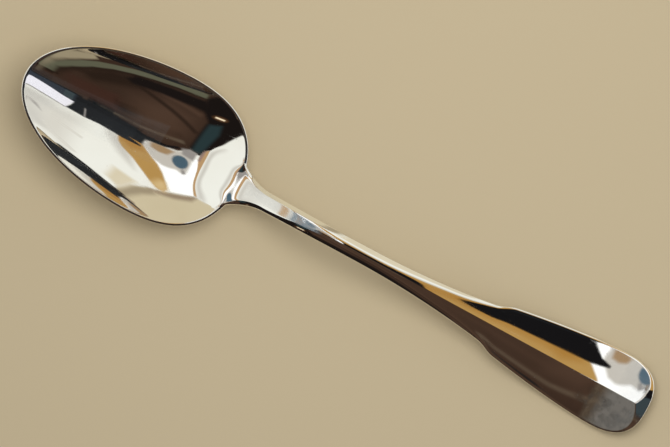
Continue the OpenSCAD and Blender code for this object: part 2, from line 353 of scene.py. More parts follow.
    def set_spine(self) -> None:
        """Lay the spine's stations, with the bowl's lowest point settled on the table.

        Each station has its place, height, slope and change of slope.
        """
        rise = -math.tan(math.radians(self.rim_tilt))
        heel_at = self.bowl_length - self.heel_back
        s = np.arange(0.0, heel_at, self.settle_step)
        radius = self.back_radius * self.spread(s)
        deep = self.egg_square(self.edge, s) / (radius + np.sqrt(radius ** 2 - self.egg_square(self.edge, s)))
        sunk = (deep + np.sqrt(deep * deep + self.back_soft ** 2)) / 2
        below = self.rim_thickness + self.core(s) + sunk - rise * (s - self.bowl_widest_at)
        rim_level = float(below.max()) - self.wear
        heel = rim_level + rise * (heel_at - self.bowl_widest_at)
        neck_slope = math.tan(math.radians(self.neck_angle))
        end = self.end_thickness - self.wear
        up = math.tan(math.radians(self.tip_upturn))
        rest_at = self.overall_length - self.rest_from_tip
        bend_at = rest_at - self.bend_length
        straight_at = self.arch_at + self.arch_run
        run = self.arch_share * self.arch_run + bend_at - straight_at + self.bend_share * self.bend_length
        fall = (end - self.arch_height) / run
        self.stations = [
            (0.0, rim_level - rise * self.bowl_widest_at, rise, 0.0),
            (heel_at, heel, rise, 0.0),
            (self.bowl_length + self.rise_run, heel + self.neck_rise, neck_slope, 0.0),
            (self.arch_at, self.arch_height, 0.0, 2 * fall / self.arch_run),
            (straight_at, self.arch_height + self.arch_share * fall * self.arch_run, fall, 0.0),
            (bend_at, end - self.bend_share * fall * self.bend_length, fall, 0.0),
            (rest_at, end, 0.0, up / self.rest_from_tip),
            (self.overall_length, end + up * self.rest_from_tip / 2, up, up / self.rest_from_tip),
        ]

    def spine(self, s: np.ndarray) -> np.ndarray:
        """Find the height of the middle of the front.

        Args:
            s: Stations.

        Returns:
            Heights over the table.
        """
        out = np.zeros_like(s)
        for p, q in zip(self.stations, self.stations[1:]):
            h = q[0] - p[0]
            t = (s - p[0]) / h
            d = p[2] * h
            e = p[3] * h * h / 2
            r = q[1] - p[1] - d - e
            u = q[2] * h - d - 2 * e
            v = q[3] * h * h - 2 * e
            curve = p[1] + t * (d + t * (e + t * (
                (10 * r - 4 * u + v / 2) + t * ((7 * u - 15 * r - v) + t * (6 * r - 3 * u + v / 2)))))
            out = np.where(s >= p[0], curve, out)
        return out

    def core(self, s: np.ndarray) -> np.ndarray:
        """Find the thickness that the stem's core adds to the plate.

        Args:
            s: Stations.

        Returns:
            Thicknesses, which fade out under the bowl.
        """
        thick = mix(self.neck_thickness, self.stem_thickness, ease(self.neck_at, self.arch_at, s))
        thick = mix(thick, self.end_thickness, ease(self.arch_at, self.shoulder_at, s))
        grown = ease(self.bowl_length - self.drop_length, self.bowl_length + self.drop_full, s)
        return (thick - self.rim_thickness) * grown

    def stem_half(self, s: np.ndarray) -> np.ndarray:
        """Find the half width of the stem with its flare at the bowl.

        Args:
            s: Stations.

        Returns:
            Half widths.
        """
        inner = np.maximum(0.0, self.stem_narrow_at - np.maximum(s, self.bowl_length))
        inner = inner / (self.stem_narrow_at - self.bowl_length)
        outer = np.maximum(0.0, s - self.stem_narrow_at) / (self.shoulder_at - self.stem_narrow_at)
        flare = np.maximum(0.0, 1 - np.maximum(-self.bevel_lead, s - self.bowl_length) / self.flare_length)
        return (self.stem_width / 2 + (self.root_width - self.stem_width) / 2 * inner ** 2
                + (self.stem_end_width - self.stem_width) / 2 * outer ** 2 + self.flare * flare ** 2)

    def open_half(self, s: np.ndarray) -> np.ndarray:
        """Find the half width of the stem and fiddle, without the rounded end.

        Args:
            s: Stations.

        Returns:
            Half widths, which stay the same past the widest line.
        """
        back = np.maximum(0.0, self.end_at - s) / (self.end_at - self.shoulder_at)
        narrower = (self.fiddle_width - self.shoulder_width) / 2 * back ** self.side_power
        fiddle = self.fiddle_width / 2 - narrower
        stepped = mix(self.stem_half(s), fiddle, ease(self.shoulder_start, self.shoulder_end, s))
        return np.where(s >= self.end_at, self.fiddle_width / 2, stepped)

    def bowl_half(self, s: np.ndarray) -> np.ndarray:
        """Find the half width of the bowl's outline up to the neck plane.

        Args:
            s: Stations.

        Returns:
            Half widths, with a soft corner between the egg and the flare.
        """
        egg = np.sqrt(np.maximum(0.0, self.egg_square(self.edge, s)))
        stem = self.stem_half(s)
        soft = self.corner_soft * (1 - ease(self.bowl_length, self.neck_at, s))
        joined = (egg + stem + np.sqrt((egg - stem) ** 2 + soft ** 2)) / 2
        return np.where(s < self.bowl_widest_at, egg, joined)

    def edge_gap(self, s: np.ndarray, y: np.ndarray) -> np.ndarray:
        """Find the distance in from the outline of the stem and fiddle.

        Args:
            s: Stations.
            y: Distances from the middle.

        Returns:
            Distances from the nearest edge, 0 outside the outline.
        """
        step = self.slope_step
        slope = (self.open_half(s + step) - self.open_half(s - step)) / (2 * step)
        along = np.maximum(0.0, self.open_half(s) - np.abs(y)) / np.sqrt(1 + slope * slope)
        n = self.end_fullness
        u = np.maximum(0.0, (s - self.end_at) / self.end_length)
        v = 2 * np.abs(y) / self.fiddle_width
        g = np.maximum((u ** n + v ** n) ** (1 / n), TINY)
        steep = np.hypot(u ** (n - 1) / self.end_length, 2 * v ** (n - 1) / self.fiddle_width)
        capped = np.maximum(0.0, 1 - g) * g ** (n - 1) / np.maximum(steep, TINY)
        capped = np.where(g < self.end_middle, self.fiddle_width / 2, capped)
        return np.where(s < self.end_at, along, capped)

    def edge_rounding(self, s: np.ndarray) -> np.ndarray:
        """Radius of the rounded edge, which is fuller along the bowl's rim."""
        return mix(self.rim_round, self.edge_round, ease(self.bowl_length - self.round_fade, self.neck_at, s))

    def press_values(self, s: np.ndarray, y: np.ndarray) -> dict[str, np.ndarray]:
        """Work out the values that the press reads at each point of a blank.

        Args:
            s: Stations of the points.
            y: Distances of the points from the middle.

        Returns:
            One array for each attribute of the blank.
        """
        w = self.open_half(s)
        ridged = ease(self.ridge_at - self.ridge_lead, self.ridge_at + self.ridge_run, s)
        rounded = ease(self.neck_at + self.crown_start, self.neck_at + self.crown_full, s) * (1 - ridged)
        narrow = ease(self.shoulder_end - self.bevel_narrows, self.shoulder_end, s)
        opened = ease(self.bowl_length - self.bevel_lead, self.bowl_length + self.bevel_run, s)
        fall = mix(self.neck_bevel_fall, self.edge_bevel * self.edge_bevel_slope, narrow)
        flat = ease(self.ridge_at, self.shoulder_at + self.back_flat_past, s)
        reach = self.open_half(np.maximum(s, self.bowl_length)) * mix(self.belly_reach, self.back_reach, flat)
        return {
            "spine": self.spine(s),
            "rim_square": self.egg_square(self.rim, s),
            "edge_square": self.egg_square(self.edge, s),
            "spread": self.spread(s),
            "roll": ease(self.bowl_length - self.roll_start, self.bowl_length - self.roll_full, s),
            "half": w,
            "crown": rounded * self.crown_fall / (w * w),
            "ridge": ridged * self.ridge_slope,
            "bevel_base": opened * fall + rounded * self.crown_fall + ridged * self.ridge_slope * w / 2,
            "bevel_slope": mix(self.neck_bevel_fall / self.neck_bevel, self.edge_bevel_slope, narrow),
            "bevel_soft": opened * mix(self.neck_bevel_soft, self.edge_bevel_soft, narrow),
            "gap": self.edge_gap(s, y),
            "core": self.core(s),
            "reach": reach,
        }


@dataclass
class Press:
    """Node tree that presses a flat blank to the spoon's shape."""

    form: SpoonForm
    ridge_soft: float = 0.05
    belly_power: float = 1.5
    tree: Tree | None = field(init=False, default=None)
    sockets: dict[str, str] = field(init=False, default_factory=dict)

    def sizes(self) -> dict[str, float]:
        """List the tree's named inputs.

        Returns:
            Value of each input in millimetres.
        """
        f = self.form
        return {
            "Hollow radius": f.hollow_radius,
            "Back radius": f.back_radius,
            "Rim softness": f.rim_soft,
            "Roll softness": f.neck_roll,
            "Neck recess": f.neck_recess,
            "Roll inner": f.roll_inner,
            "Roll outer": f.roll_outer,
            "Rim thickness": f.rim_thickness,
            "Back softness": f.back_soft,
            "Ridge softness": self.ridge_soft,
        }

    def build(self) -> None:
        """Make the tree once, with its named inputs."""
        tree = bpy.data.node_groups.new("Press spoon", "GeometryNodeTree")
        face = tree.interface
        face.new_socket(name="Geometry", in_out="INPUT", socket_type="NodeSocketGeometry")
        kinds = {**{name: "NodeSocketFloat" for name in self.sizes()}, "Finish": "NodeSocketMaterial"}
        for name, kind in kinds.items():
            self.sockets[name] = face.new_socket(name=name, in_out="INPUT", socket_type=kind).identifier
        face.new_socket(name="Geometry", in_out="OUTPUT", socket_type="NodeSocketGeometry")
        source = wire(tree, "NodeGroupInput").outputs
        place = wire(tree, "GeometryNodeInputPosition")
        parts = wire(tree, "ShaderNodeSeparateXYZ", {0: place.outputs[0]}).outputs
        size = {name: Field(tree, source[name]) for name in self.sizes()}
        height = self.height(tree, Field(tree, parts["Y"]) / MM, size) * MM
        point = wire(tree, "ShaderNodeCombineXYZ", {"X": parts["X"], "Y": parts["Y"], "Z": height})
        move = wire(tree, "GeometryNodeSetPosition",
                    {"Geometry": source["Geometry"], "Position": point.outputs[0]})
        real = wire(tree, "GeometryNodeRealizeInstances", {0: move.outputs[0]})
        dress = wire(tree, "GeometryNodeSetMaterial",
                     {"Geometry": real.outputs[0], "Material": source["Finish"]})
        wire(tree, "NodeGroupOutput", {0: dress.outputs[0]})
        self.tree = tree

    @staticmethod
    def read(tree: Tree, name: str) -> Field:
        """Read one of the blank's attributes."""
        node = wire(tree, "GeometryNodeInputNamedAttribute", {"Name": name}, data_type="FLOAT")
        return Field(tree, node.outputs["Attribute"])

    def height(self, tree: Tree, y: Field, size: dict[str, Field]) -> Field:
        """Write the rule for a point's height.

        Args:
            tree: Tree that the rule goes into.
            y: Distance of the point from the middle.
            size: Named sizes.

        Returns:
            Height over the table, in millimetres.
        """
        get = {name: self.read(tree, name) for name in (
            "spine", "rim_square", "edge_square", "spread", "roll", "half", "crown", "ridge", "bevel_base",
            "bevel_slope", "bevel_soft", "gap", "core", "reach", "side", "drop")}
        yy = y * y

        def dish(square: Field, radius: Field) -> Field:
            """Write the depth of a dish with round cross-sections.

            Args:
                square: Squared half width of the dish.
                radius: Radius of its cross-section at the widest line.

            Returns:
                Depth at the point.
            """
            r = radius * get["spread"]
            rr = r * r
            return (square - yy) / ((rr - yy).root() + (rr - square).root())

        across = (yy.root() - size["Roll inner"]) / (size["Roll outer"] - size["Roll inner"])
        rolled = get["roll"] * (1.0 - across.eased())
        soft = size["Rim softness"] + (size["Roll softness"] - size["Rim softness"]) * rolled
        hollow = dish(get["rim_square"], size["Hollow radius"])
        sunk = (hollow - size["Neck recess"] * rolled).soft_positive(soft)

        edge = size["Ridge softness"]
        beside = (yy + edge * edge).root() - edge
        roof = get["crown"] * yy + get["ridge"] * (beside - yy / (get["half"] * 2.0))
        slant = get["bevel_base"] - get["bevel_slope"] * get["gap"]
        fall = roof + (slant - roof).soft_positive(get["bevel_soft"])
        front = get["spine"] - fall - sunk - get["drop"]

        under = dish(get["edge_square"], size["Back radius"]).soft_positive(size["Back softness"])
        u = y / get["reach"]
        belly = (1.0 - u * u).most(0.0).raised(self.belly_power)
        back = (get["spine"] - size["Rim thickness"] - get["core"] * belly - under).most(0.0) + get["drop"]
        return front + (back - front) * get["side"]

    def apply(self, blank: bpy.types.Object, finish: bpy.types.Material) -> None:
        """Press a blank and leave a plain mesh on it.

        Args:
            blank: Object that holds the flat blank.
            finish: Material for the whole piece.
        """
        if self.tree is None:
            self.build()
        step = blank.modifiers.new("Press", "NODES")
        step.node_group = self.tree
        for name, value in {**self.sizes(), "Finish": finish}.items():
            step[self.sockets[name]] = value
        graph = bpy.context.evaluated_depsgraph_get()
        pressed = bpy.data.meshes.new_from_object(blank.evaluated_get(graph))
        blank.modifiers.remove(step)
        flat = blank.data
        blank.data = pressed
        bpy.data.meshes.remove(flat)


@dataclass
class Blank:
    """Flat plate of plan points, in sections from the front's middle, round the edge, to the back's middle."""

    plan: np.ndarray
    side: np.ndarray
    drop: np.ndarray
    closed: bool
    merge_per_mm: float = 1e4
    layers: float = 10.0

    def cells(self) -> list[tuple[int, ...]]:
        """List the cells between neighbouring sections, with the ends closed.

        Returns:
            Point numbers of each cell.
        """
        rows, cols = self.side.shape
        last = rows if self.closed else rows - 1
        cells = []
        for i in range(last):
            a, b = i * cols, (i + 1) % rows * cols
            cells += [(a + j, a + j + 1, b + j + 1, b + j) for j in range(cols - 1)]
        if not self.closed:
            end = (rows - 1) * cols
            cells.append(tuple(range(cols - 1, -1, -1)) + tuple(range(end, end + cols)))
        return cells

    def make(self, name: str, form: SpoonForm) -> bpy.types.Object:
        """Make the blank's object, with shared points merged and the press's values on it.

        Args:
            name: Name of the object.
            form: The spoon's sizes.

        Returns:
            Object that holds the flat blank, in metres.
        """
        s, y = self.plan[..., 0].ravel(), self.plan[..., 1].ravel()
        side, drop = self.side.ravel(), self.drop.ravel()
        key = np.round(np.stack([s, y, side * self.layers], 1) * self.merge_per_mm).astype(np.int64)
        _, kept, where = np.unique(key, axis=0, return_index=True, return_inverse=True)
        where = where.ravel().tolist()
        faces = []
        for cell in self.cells():
            ring = [where[c] for c in cell]
            ring = [v for k, v in enumerate(ring) if v != ring[k - 1]]
            if len(ring) > 2 and len(set(ring)) == len(ring):
                faces.append(ring)
        s, y, side, drop = s[kept], y[kept], side[kept], drop[kept]
        points = np.stack([s - form.overall_length / 2, y, 1.0 - 2.0 * side], 1) * MM
        mesh = bpy.data.meshes.new(name)
        mesh.from_pydata(points.tolist(), [], faces)
        values = {**form.press_values(s, y), "side": side, "drop": drop}
        for attribute, data in values.items():
            layer = mesh.attributes.new(attribute, "FLOAT", "POINT")
            layer.data.foreach_set("value", data.astype(np.float32))
        piece = bpy.data.objects.new(name, mesh)
        bpy.context.scene.collection.objects.link(piece)
        return piece


@dataclass(frozen=True)
class Spacing:
    """Shares at which the points of a section stand."""

    inner: tuple[float, ...]
    outer: tuple[float, ...]
    back: tuple[float, ...]
    turns: int = 6
    walls: int = 3

    def lay(self, core: np.ndarray, brim: np.ndarray, outline: np.ndarray, inward: np.ndarray,
            radius: np.ndarray, closed: bool) -> Blank:
        """Lay sections from the front's middle, over the brim and round the edge, to the back's middle.

        Args:
            core: Middle point of each section.
            brim: Point of each section where its spacing changes: the hollow's edge or the bevel's inner edge.
            outline: Outline point of each section.
            inward: Unit vector in from each outline point.
            radius: Radius of the rounded edge at each outline point.
            closed: Whether the last section joins the first.

        Returns:
            The flat blank.
        """
        inset = outline + inward * radius[:, None]
        plan, side, drop = [], [], []

        def put(points: np.ndarray, share: float, fall: Values) -> None:
            """Add one point to every section.

            Args:
                points: Plan point of each section.
                share: Share of the way from the front to the back.
                fall: Drop of the rounded edge there.
            """
            plan.append(points)
            side.append(np.full(len(points), share))
            drop.append(np.broadcast_to(fall, len(points)).astype(float))

        def turn(step: int, share: float) -> None:
            """Add one point of the rounded edge to every section."""
            a = math.radians(90.0 * step / self.turns)
            put(outline + inward * (radius * (1 - math.sin(a)))[:, None], share, radius * (1 - math.cos(a)))

        for f in self.inner:
            put(mix(core, brim, f), 0.0, 0.0)
        for f in self.outer:
            put(mix(brim, inset, f), 0.0, 0.0)
        for k in range(1, self.turns + 1):
            turn(k, 0.0)
        for k in range(1, self.walls):
            put(outline, k / self.walls, radius)
        for k in range(self.turns, 0, -1):
            turn(k, 1.0)
        for f in self.back:
            put(mix(inset, core, f), 1.0, 0.0)
        return Blank(np.stack(plan, 1), np.stack(side, 1), np.stack(drop, 1), closed)


def tidy_mesh(piece: bpy.types.Object, sharp_deg: float = 60.0) -> None:
    """Drop the press's attributes, turn faces outwards and shade smoothly.

    Args:
        piece: Object with a pressed mesh.
        sharp_deg: Angle past which an edge stays sharp.
    """
    mesh = piece.data
    for attribute in [a.name for a in mesh.attributes if a.data_type == "FLOAT" and a.domain == "POINT"]:
        mesh.attributes.remove(mesh.attributes[attribute])
    work = bmesh.new()
    work.from_mesh(mesh)
    bmesh.ops.recalc_face_normals(work, faces=work.faces)
    work.to_mesh(mesh)
    work.free()
    mesh.polygons.foreach_set("use_smooth", [True] * len(mesh.polygons))
    mesh.set_sharp_from_angle(angle=math.radians(sharp_deg))
    mesh.update()


def left_normals(points: np.ndarray, first: tuple[float, float], last: tuple[float, float]) -> np.ndarray:
    """Find the unit vectors to the left of a path of plan points, square to it.

    Args:
        points: Plan points in order.
        first: Vector to use at the first point.
        last: Vector to use at the last point.

    Returns:
        One unit vector for each point.
    """
    along = np.gradient(points, axis=0)
    along /= np.linalg.norm(along, axis=1, keepdims=True)
    normal = np.stack([-along[:, 1], along[:, 0]], 1)
    normal[0] = first
    normal[-1] = last
    return normal


@dataclass(kw_only=True)
class Part:
    """A piece of the spoon, laid flat on one side of the neck plane and then pressed."""

    form: SpoonForm
    node: str
    neck_cell: float = 0.03
    neck_row: float = 0.15
    neck_square: float = 4.0

    def squared(self, inward: np.ndarray, s: np.ndarray) -> np.ndarray:
        """Turn vectors near the neck plane straight in, so that no section leans over the plane.

        Args:
            inward: Unit vectors in from an outline on the +Y side.
            s: Station of each.

        Returns:
            Unit vectors.
        """
        away = np.clip(np.abs(s - self.form.neck_at) / self.neck_square, 0.0, 1.0)
        turned = mix(np.array([0.0, -1.0]), inward, away[:, None])
        return turned / np.linalg.norm(turned, axis=1, keepdims=True)

    def lay(self) -> Blank:
        """Lay the piece's flat blank."""
        raise NotImplementedError

    def build(self, press: Press, finish: bpy.types.Material) -> bpy.types.Object:
        """Make, press and dress the piece.

        Args:
            press: Press to use.
            finish: Material for the whole piece.

        Returns:
            The finished piece.
        """
        piece = self.lay().make(f"spoon_{self.node}", self.form)
        press.apply(piece, finish)
        tidy_mesh(piece)
        return piece


@dataclass(kw_only=True)
class Bowl(Part):
    """The egg-shaped bowl with its rim, heel and the flared root of the stem."""

    neck_lines: np.ndarray
    node: str = "bowl"
    flare_steps: int = 40
    egg_steps: int = 150
    pole_setback: float = 2.0
    flare_end: float = 0.6
    neck_turn_deg: float = 8.0
    flare_turn_deg: float = 12.3
    bend_power: int = 3
    back_crowding: float = 1.2

    def spacing(self) -> Spacing:
        """Spread the rings, closest together beside the rim.

        Returns:
            Shares for the hollow, the rim and the back.
        """
        near = (0.0, 0.0018, 0.0036, 0.0056, 0.008, 0.011, 0.015, 0.02, 0.027, 0.036, 0.048, 0.062)
        inner = tuple(sorted(1.0 - f for f in (*near, *np.linspace(0.08, 1.0, 48))))
        outer = (0.03, 0.06, *np.linspace(0.1, 0.7, 19), *np.linspace(0.72, 1.0, 15))
        return Spacing(inner, outer, tuple(np.linspace(0.0, 1.0, 46)[1:] ** self.back_crowding))

    def half_outline(self) -> tuple[np.ndarray, np.ndarray]:
        """Lay the outline from the neck on the +Y side to the bowl tip.

        Returns:
            Outline points and the vectors in from them.
        """
        f = self.form
        flare = np.concatenate([
            [f.neck_at, f.neck_at - self.neck_cell],
            np.linspace(f.neck_at - self.neck_row, f.bowl_length - self.flare_end, self.flare_steps)])
        flat = math.degrees(math.acos((flare[-1] - f.bowl_length / 2) / f.edge.half_length))
        angle = np.linspace(180.0 - flat, 0.0, self.egg_steps + 1)[1:]
        egg = f.bowl_length / 2 - f.edge.half_length * np.cos(np.radians(angle))
        s = np.concatenate([flare, egg])
        y = f.bowl_half(s)
        y[-1] = 0.0
        points = np.stack([s, y], 1)
        return points, self.squared(left_normals(points, (0.0, -1.0), (1.0, 0.0)), s)

    def rim_points(self, count: int, neck: int, flare: int) -> np.ndarray:
        """Share points on the hollow's edge out across the neck and the flare, and then evenly round the egg.

        Args:
            count: Number of sections on one side.
            neck: Number of those that end on the neck plane.
            flare: Number of those that end on the flare.

        Returns:
            Plan points from the heel to the tip.
        """
        f = self.form
        turn = np.interp(np.arange(count), (0, neck - 1, neck + flare - 1, count - 1),
                         (0.0, self.neck_turn_deg, self.flare_turn_deg, 180.0))
        s = f.bowl_length / 2 + f.rim.half_length * np.cos(np.radians(turn))
        return np.stack([s, np.sqrt(np.maximum(0.0, f.egg_square(f.rim, s)))], 1)

    def follow_neck(self, plan: np.ndarray, outline: np.ndarray) -> None:
        """Bend the sections that end on the neck plane, so that they run along the stem's edges there.

        The bend fades out along the flare.

        Args:
            plan: Plan points of every section, changed in place.
            outline: Outline point of each section.
        """
        f, spacing = self.form, self.spacing()
        first = len(spacing.inner)
        shares = np.array(spacing.outer)
        last = first + len(shares)
        bend = (outline[:, 0] - f.bowl_length + self.flare_end) / (f.root_length + self.flare_end)
        bend = np.clip(bend, 0.0, 1.0)
        rays = bend > 0.0
        start, end = plan[rays, first - 1], plan[rays, last - 1]
        s = mix(start[:, None, 0], end[:, None, 0], shares)
        wide = [(p[:, 1] / f.bowl_half(p[:, 0]))[:, None] for p in (end, start)]
        bent = np.stack([s, mix(*wide, (1 - shares) ** self.bend_power) * f.bowl_half(s)], -1)
        plan[rays, first:last] = mix(plan[rays, first:last], bent, bend[rays, None, None])

    def lay(self) -> Blank:
        """Lay the bowl's flat blank.

        Returns:
            The blank.
        """
        f = self.form
        side, inward = self.half_outline()
        chord = np.stack([np.full_like(self.neck_lines, f.neck_at), self.neck_lines], 1)
        outline = np.concatenate([chord, side])
        inward = np.concatenate([np.tile([-1.0, 0.0], (len(chord), 1)), inward])
        radius = np.concatenate([np.zeros(len(chord)), f.edge_rounding(side[:, 0])])
        flare = int(np.sum(side[:, 0] > f.bowl_length - self.flare_end - self.neck_cell))
        rim = self.rim_points(len(outline), len(chord), flare)
        other = slice(-2, 0, -1)
        rim, outline, inward = (np.concatenate([p, p[other] * MIRROR]) for p in (rim, outline, inward))
        radius = np.concatenate([radius, radius[other]])
        core = np.tile([f.bowl_widest_at - self.pole_setback, 0.0], (len(outline), 1))
        blank = self.spacing().lay(core, rim, outline, inward, radius, closed=True)
        self.follow_neck(blank.plan, outline)
        return blank


@dataclass(kw_only=True)
class Handle(Part):
    """The stem, the fiddle shoulders, the ridged front and the hipped tip."""

    node: str = "handle"
    stem_steps: int = 130
    shoulder_steps: int = 44
    fiddle_steps: int = 80
    tip_steps: int = 90
    tip_crowding: float = 1.5
    bevel_band: float = 1.3

    def spacing(self) -> Spacing:
        """Spread the lines, closest together beside the ridge and along the bevel.

        Returns:
            Shares for the front, the bevel's band and the back.
        """
        inner = (0.0, 0.004, 0.009, 0.016, 0.026, 0.04, 0.058, *np.linspace(0.08, 1.0, 36))
        return Spacing(inner, tuple(np.linspace(0.0, 1.0, 21)[1:]), tuple(np.linspace(0.0, 1.0, 18)[1:]))

    def neck_lines(self) -> np.ndarray:
        """Find where the front's points stand on the neck plane.

        Returns:
            Distances from the middle.
        """
        f, spacing = self.form, self.spacing()
        inset = float(f.open_half(np.array(f.neck_at))) - f.edge_round
        band = inset - self.bevel_band
        return np.concatenate([band * np.array(spacing.inner), mix(band, inset, np.array(spacing.outer))])

    def half_outline(self) -> tuple[np.ndarray, np.ndarray]:
        """Lay the outline from the neck on the +Y side to the handle tip.

        Returns:
            Middle points and outline points.
        """
        f = self.form
        s = np.concatenate([
            [f.neck_at, f.neck_at + self.neck_cell],
            np.linspace(f.neck_at + self.neck_row, f.shoulder_start, self.stem_steps, endpoint=False),
            np.linspace(f.shoulder_start, f.shoulder_end, self.shoulder_steps, endpoint=False),
            np.linspace(f.shoulder_end, f.end_at, self.fiddle_steps)])
        straight = np.stack([s, f.open_half(s)], 1)
        core = np.stack([s, np.zeros_like(s)], 1)
        turn = np.radians(90.0 * np.linspace(1.0, 0.0, self.tip_steps + 1)[1:] ** self.tip_crowding)
        n = f.end_fullness
        reach = (np.abs(np.cos(turn)) ** n + np.abs(np.sin(turn)) ** n) ** (-1 / n)
        cap = np.stack([f.end_at + f.end_length * reach * np.cos(turn),
                        f.fiddle_width / 2 * reach * np.sin(turn)], 1)
        middle = np.tile([f.end_at, 0.0], (len(cap), 1))
        return np.concatenate([core, middle]), np.concatenate([straight, cap])

    def lay(self) -> Blank:
        """Lay the handle's flat blank.

        Returns:
            The blank.
        """
        core, outline = self.half_outline()
        inward = self.squared(-left_normals(outline, (0.0, 1.0), (1.0, 0.0)), outline[:, 0])
        other = slice(-2, None, -1)
        core, outline, inward = (np.concatenate([p, p[other] * MIRROR]) for p in (core, outline, inward))
        radius = self.form.edge_rounding(outline[:, 0])
        brim = outline + inward * (radius + self.bevel_band)[:, None]
        return self.spacing().lay(core, brim, outline, inward, radius, closed=False)


@dataclass(frozen=True)
class Cloud:
    """Cloudy pattern, with the range of it that counts."""

    scale: float
    detail: float
    low: float
    high: float

    def share(self, place: Field, start: float = 0.0, end: float = 1.0) -> Field:
        """Read the pattern.

        Args:
            place: Place to read it at.
            start: Share at the low end of the range.
            end: Share at its high end.

        Returns:
            The share at that place.
        """
        node = wire(place.tree, "ShaderNodeTexNoise",
                    {"Scale": self.scale, "Detail": self.detail, "Vector": place})
        return Field(place.tree, node.outputs["Fac"]).share(self.low, self.high, start, end)


@dataclass(frozen=True)
class SilverFinish:
    """Mirror-polished silver plate with a film of handling, hairlines, specks and a smudge near the tip."""

    name: str = "polished silver plate"
    bright: Colour = (0.93, 0.905, 0.865, 1.0)
    toned: Colour = (0.89, 0.855, 0.80, 1.0)
    dull: Colour = (0.46, 0.46, 0.45, 1.0)
    toning: Cloud = Cloud(45.0, 4.0, 0.4, 0.65)
    polish: float = 0.025
    film: float = 0.07
    filming: Cloud = Cloud(120.0, 6.0, 0.45, 0.75)
    hairline: Cloud = Cloud(1.0, 2.0, 0.66, 0.74)
    hairline_film: float = 0.09
    hairline_depth: float = 0.15
    hairlines_per_m: Triple = (45.0, 2600.0, 45.0)
    hairline_turn_deg: float = 24.0
    specks_per_m: float = 230.0
    speck_reach: float = 0.034
    speck_film: float = 0.3
    smudge_at: Triple = (0.0925, -0.0062, 0.005)
    smudge_reach: Triple = (0.0125, 0.0075, 0.03)
    smudge_full: float = 0.5
    smudge_film: float = 0.2
    smudge_dulls: float = 0.7
    mottle: Cloud = Cloud(380.0, 6.0, 0.42, 0.6)
    dent: float = 0.00002
    dent_strength: float = 0.25

    def before(self, rgb: Rgb) -> Colour:
        """Linear colour that looks like the given one after a reflection in the silver."""
        return tuple(c / b for c, b in zip(linear(rgb), self.bright))

    def hairlines(self, place: Field) -> Field:
        """Draw fine scratches that run along the spoon, a little askew.

        Args:
            place: Place on the spoon.

        Returns:
            Share of a scratch there.
        """
        turn = (0.0, 0.0, math.radians(self.hairline_turn_deg))
        node = wire(place.tree, "ShaderNodeMapping",
                    {"Rotation": turn, "Scale": self.hairlines_per_m, "Vector": place})
        return self.hairline.share(Field(place.tree, node.outputs["Vector"]))

    def specks(self, place: Field) -> Field:
        """Scatter a few tiny pits, as a share at each place."""
        node = wire(place.tree, "ShaderNodeTexVoronoi", {"Scale": self.specks_per_m, "Vector": place})
        return Field(place.tree, node.outputs["Distance"]).share(self.speck_reach, self.speck_reach / 2)

    def smudge(self, place: Field) -> Field:
        """Lay a mottled smudge of handling beside the ridge near the tip.

        Args:
            place: Place on the spoon.

        Returns:
            Share of the smudge there.
        """
        spot = {"Location": self.smudge_at, "Scale": self.smudge_reach, "Vector": place}
        node = wire(place.tree, "ShaderNodeMapping", spot, vector_type="TEXTURE")
        far = wire(place.tree, "ShaderNodeVectorMath", {0: node.outputs["Vector"]}, operation="LENGTH")
        near = Field(place.tree, far.outputs["Value"]).share(1.0, self.smudge_full)
        return near * self.mottle.share(place)

    @staticmethod
    def blend(share: Field, first: Socket | Colour, second: Colour) -> Socket:
        """Mix two colours by a share."""
        node = wire(share.tree, "ShaderNodeMix", {"A": first, "B": second, "Factor": share}, data_type="RGBA")
        return node.outputs["Result"]

    def material(self) -> bpy.types.Material:
        """Make the material.

        Returns:
            The material, which reads Object coordinates.
        """
        mat = bpy.data.materials.new(self.name)
        mat.use_nodes = True
        tree = mat.node_tree
        place = Field(tree, wire(tree, "ShaderNodeTexCoord").outputs["Object"])
        lines, pits, smudged = self.hairlines(place), self.specks(place), self.smudge(place)
        tone = self.blend(self.toning.share(place), self.bright, self.toned)
        tone = self.blend(smudged * self.smudge_dulls, tone, self.dull)
        haze = self.filming.share(place, self.polish, self.film)
        rough = haze + lines * self.hairline_film + smudged * self.smudge_film + pits * self.speck_film
        bump = wire(tree, "ShaderNodeBump", {"Strength": self.dent_strength, "Distance": self.dent,
                                             "Height": lines * self.hairline_depth + pits})
        shader = tree.nodes["Principled BSDF"].inputs
        shader["Metallic"].default_value = 1.0
        tree.links.new(tone, shader["Base Color"])
        tree.links.new(rough.socket, shader["Roughness"])
        tree.links.new(bump.outputs["Normal"], shader["Normal"])
        return mat


